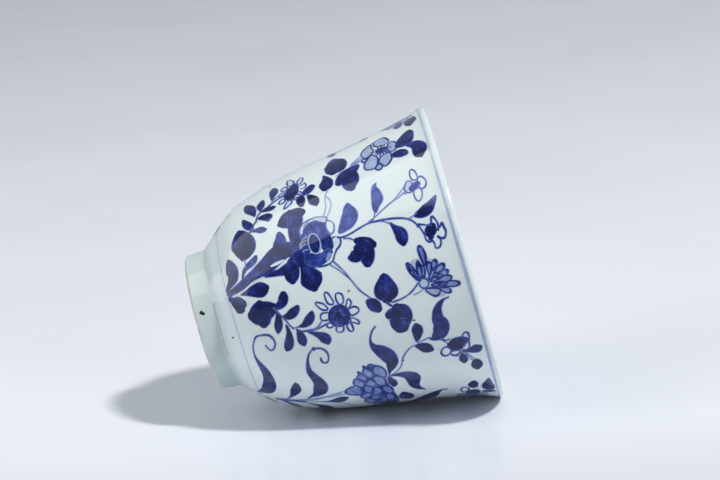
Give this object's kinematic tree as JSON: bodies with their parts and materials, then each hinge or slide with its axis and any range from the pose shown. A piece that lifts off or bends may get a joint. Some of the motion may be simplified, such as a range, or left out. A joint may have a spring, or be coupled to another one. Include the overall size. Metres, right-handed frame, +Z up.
{
  "type": "teacup",
  "caption": "Handleless flared porcelain teacup: a deep rounded bowl with a thin rolled lip, standing on a low turned foot ring.",
  "frame": {"origin": "centre of the circle that the foot ring stands on", "axes": "+Z up along the cup's axis, from the foot to the rim; the body is round, so X and Y are free"},
  "size_m": [0.078, 0.078, 0.07],
  "materials": {
    "porcelain_glaze": "clear gloss glaze with a faint blue-green tint over cobalt blue brush painting",
    "foot_glaze": "the same clear gloss glaze, unpainted, wiped off the edge that the cup stands on"
  },
  "bodies": {
    "root": {"bowl": "porcelain_glaze", "foot_ring": "foot_glaze"}
  },
  "joints": []
}
